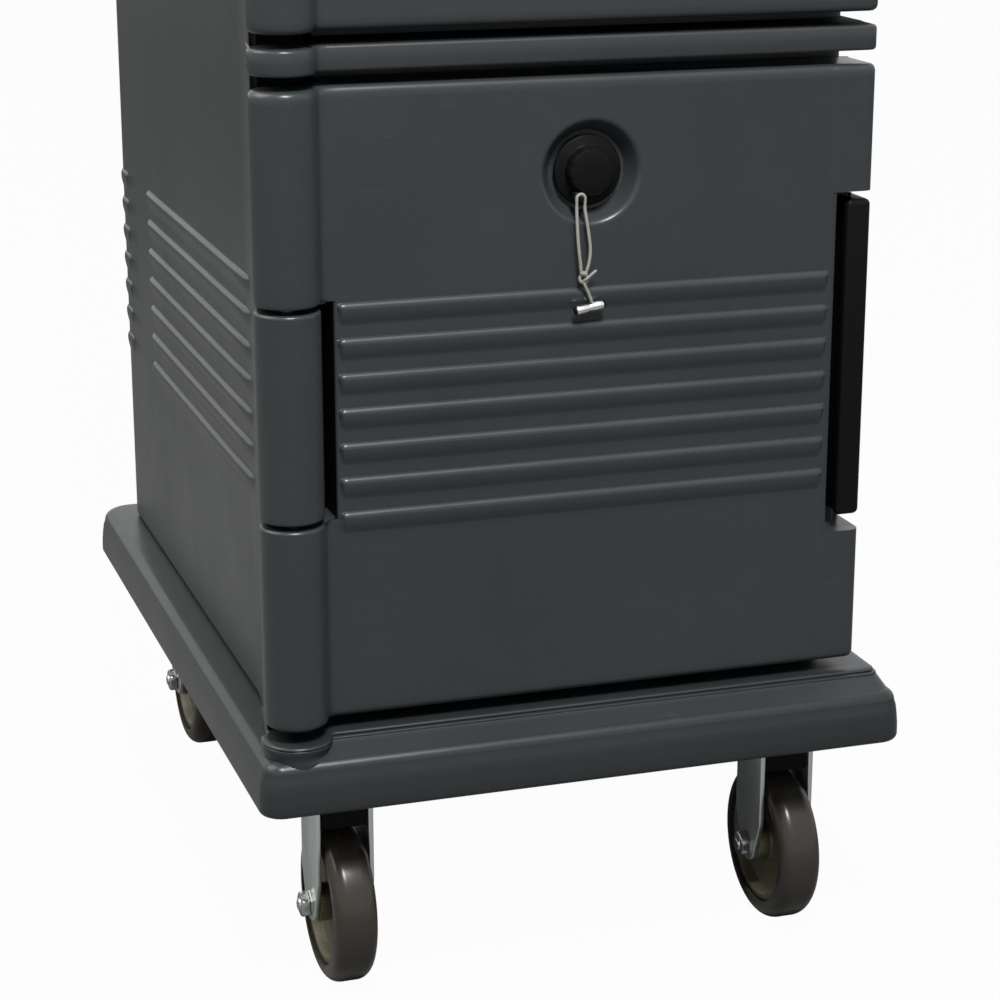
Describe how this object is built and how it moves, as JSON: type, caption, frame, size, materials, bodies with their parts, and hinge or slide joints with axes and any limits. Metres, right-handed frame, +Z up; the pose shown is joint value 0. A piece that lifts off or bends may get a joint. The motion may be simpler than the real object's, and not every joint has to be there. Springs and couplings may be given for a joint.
{
  "type": "insulated tray cart",
  "caption": "Insulated front-loading tray cart with stacked doors, recessed latches and vents, on a bumper base with casters",
  "frame": {"origin": "on the floor under the middle of the base", "axes": "+Z up, the doors face -Y, +X to the latch side"},
  "size_m": [0.521, 0.72, 1.27],
  "materials": {
    "shell": "fine satin texture, charcoal grey",
    "bumper": "fine satin texture, darker charcoal grey",
    "black_nylon": "low gloss black",
    "seal": "matte black",
    "steel": "zinc plated",
    "wire": "polished",
    "wheel_core": "low gloss olive tan",
    "tread": "satin dark brown-grey",
    "pedal": "dark red coat"
  },
  "bodies": {
    "cabinet": {"base": "bumper", "cabinet": "shell", "rear_handle": "black_nylon", "lower_hinge_pin": "steel", "upper_hinge_pin": "steel", "lower_keeper": "steel", "upper_keeper": "steel", "front_left_fork": "steel", "front_left_axle": "steel", "front_right_fork": "steel", "front_right_axle": "steel", "rear_left_plate": "steel", "rear_left_kingpin": "steel", "rear_right_plate": "steel", "rear_right_kingpin": "steel"},
    "lower_door": {"lower_door": "shell", "lower_seal": "seal", "lower_latch_pin": "steel", "lower_vent_sleeve": "black_nylon"},
    "lower_latch": {"lower_latch": "black_nylon"},
    "lower_vent_cap": {"lower_vent_cap": "black_nylon", "lower_tether_left": "wire", "lower_tether_right": "wire", "lower_toggle": "wire"},
    "upper_door": {"upper_door": "shell", "upper_seal": "seal", "upper_latch_pin": "steel", "upper_vent_sleeve": "black_nylon"},
    "upper_latch": {"upper_latch": "black_nylon"},
    "upper_vent_cap": {"upper_vent_cap": "black_nylon", "upper_tether_left": "wire", "upper_tether_right": "wire", "upper_toggle": "wire"},
    "front_left_wheel": {"front_left_core": "wheel_core", "front_left_tread": "tread"},
    "rear_left_swivel": {"rear_left_fork": "steel", "rear_left_axle": "steel", "rear_left_brake_pin": "steel"},
    "rear_left_wheel": {"rear_left_core": "wheel_core", "rear_left_tread": "tread"},
    "rear_left_brake": {"rear_left_brake": "pedal"},
    "front_right_wheel": {"front_right_core": "wheel_core", "front_right_tread": "tread"},
    "rear_right_swivel": {"rear_right_fork": "steel", "rear_right_axle": "steel", "rear_right_brake_pin": "steel"},
    "rear_right_wheel": {"rear_right_core": "wheel_core", "rear_right_tread": "tread"},
    "rear_right_brake": {"rear_right_brake": "pedal"}
  },
  "joints": [
    {"name": "lower_door_hinge", "type": "hinge", "parent": "cabinet", "child": "lower_door", "pos_m": [-0.227, -0.331, 0.471], "axis": [0, 0, -1], "range_deg": [0, 210]},
    {"name": "lower_latch_turn", "type": "hinge", "parent": "lower_door", "child": "lower_latch", "pos_m": [0.214, -0.3, 0.4755], "axis": [0, 0, -1], "range_deg": [0, 14]},
    {"name": "lower_vent_pull", "type": "slide", "parent": "lower_door", "child": "lower_vent_cap", "axis": [0, -1, 0], "range_m": [0, 0.03]},
    {"name": "upper_door_hinge", "type": "hinge", "parent": "cabinet", "child": "upper_door", "pos_m": [-0.227, -0.331, 0.978], "axis": [0, 0, -1], "range_deg": [0, 210]},
    {"name": "upper_latch_turn", "type": "hinge", "parent": "upper_door", "child": "upper_latch", "pos_m": [0.214, -0.3, 0.9825], "axis": [0, 0, -1], "range_deg": [0, 14]},
    {"name": "upper_vent_pull", "type": "slide", "parent": "upper_door", "child": "upper_vent_cap", "axis": [0, -1, 0], "range_m": [0, 0.03]},
    {"name": "front_left_spin", "type": "hinge", "parent": "cabinet", "child": "front_left_wheel", "pos_m": [-0.185, -0.28, 0.0635], "axis": [1, 0, 0], "continuous": true},
    {"name": "rear_left_swing", "type": "hinge", "parent": "cabinet", "child": "rear_left_swivel", "pos_m": [-0.185, 0.28, 0.15], "axis": [0, 0, 1], "continuous": true},
    {"name": "rear_left_spin", "type": "hinge", "parent": "rear_left_swivel", "child": "rear_left_wheel", "pos_m": [-0.185, 0.245, 0.0635], "axis": [1, 0, 0], "continuous": true},
    {"name": "rear_left_brake_press", "type": "hinge", "parent": "rear_left_swivel", "child": "rear_left_brake", "pos_m": [-0.185, 0.292, 0.12], "axis": [-1, 0, 0], "range_deg": [0, 20]},
    {"name": "front_right_spin", "type": "hinge", "parent": "cabinet", "child": "front_right_wheel", "pos_m": [0.185, -0.28, 0.0635], "axis": [1, 0, 0], "continuous": true},
    {"name": "rear_right_swing", "type": "hinge", "parent": "cabinet", "child": "rear_right_swivel", "pos_m": [0.185, 0.28, 0.15], "axis": [0, 0, 1], "continuous": true},
    {"name": "rear_right_spin", "type": "hinge", "parent": "rear_right_swivel", "child": "rear_right_wheel", "pos_m": [0.185, 0.245, 0.0635], "axis": [1, 0, 0], "continuous": true},
    {"name": "rear_right_brake_press", "type": "hinge", "parent": "rear_right_swivel", "child": "rear_right_brake", "pos_m": [0.185, 0.292, 0.12], "axis": [-1, 0, 0], "range_deg": [0, 20]}
  ]
}
